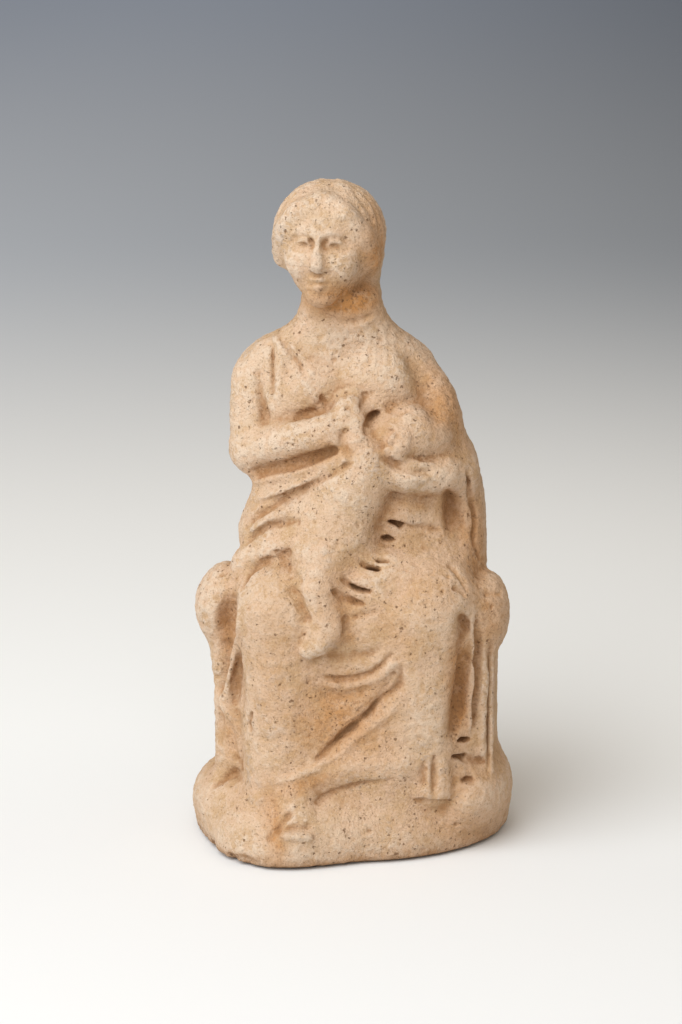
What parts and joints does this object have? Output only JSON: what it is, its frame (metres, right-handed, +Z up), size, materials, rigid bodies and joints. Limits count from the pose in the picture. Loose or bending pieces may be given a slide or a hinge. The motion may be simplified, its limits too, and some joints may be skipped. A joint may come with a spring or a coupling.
{
  "type": "terracotta figurine",
  "caption": "Moulded terracotta figurine of a draped woman seated on a throne, nursing an infant on her lap, on a low oval mound base.",
  "frame": {"origin": "middle of the figurine's box on the flat underside", "axes": "+Z up, the woman faces -Y, her left side is at +X"},
  "size_m": [0.0828, 0.0688, 0.17],
  "materials": {
    "clay": "matte fired clay, worn"
  },
  "bodies": {
    "root": {"nursing_woman_figurine": "clay"}
  },
  "joints": []
}
